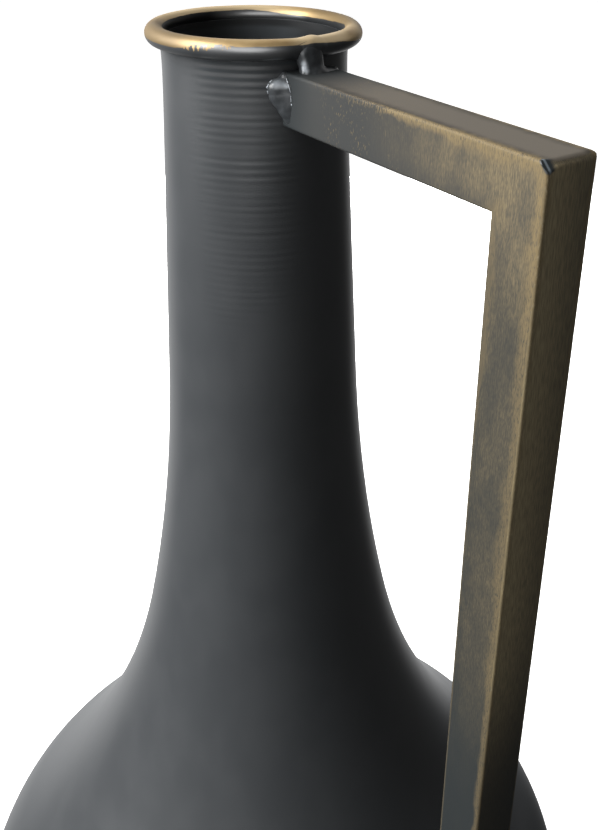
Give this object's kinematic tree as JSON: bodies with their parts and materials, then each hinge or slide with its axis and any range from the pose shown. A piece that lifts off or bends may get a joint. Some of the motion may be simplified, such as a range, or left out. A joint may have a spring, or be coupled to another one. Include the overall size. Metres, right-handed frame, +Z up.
{
  "type": "urn vase",
  "caption": "Tall urn vase of spun sheet metal with a long flared neck, round belly, round-bar rim and a welded square-tube handle; holds stems and stands on its flat base.",
  "frame": {"origin": "centre of the flat base's underside, on the floor", "axes": "+Z up along the body's axis, +X from the axis towards the handle, +Y completes the right hand"},
  "size_m": [0.3366, 0.3366, 0.6222],
  "materials": {
    "body_black": "satin charcoal black",
    "rim_gold": "antique gold brushed over black",
    "handle_bronze": "antique gold dry-brushed over charcoal",
    "weld_black": "glossy charcoal black"
  },
  "bodies": {
    "root": {"neck_shell": "body_black", "lower_bowl": "body_black", "girth_weld": "body_black", "rim_ring": "rim_gold", "rim_joint_weld": "rim_gold", "handle_arm": "handle_bronze", "handle_leg": "handle_bronze", "handle_corner_weld": "handle_bronze", "neck_weld_front": "weld_black", "neck_weld_top": "weld_black", "neck_weld_back": "weld_black", "shoulder_weld": "weld_black"}
  },
  "joints": []
}
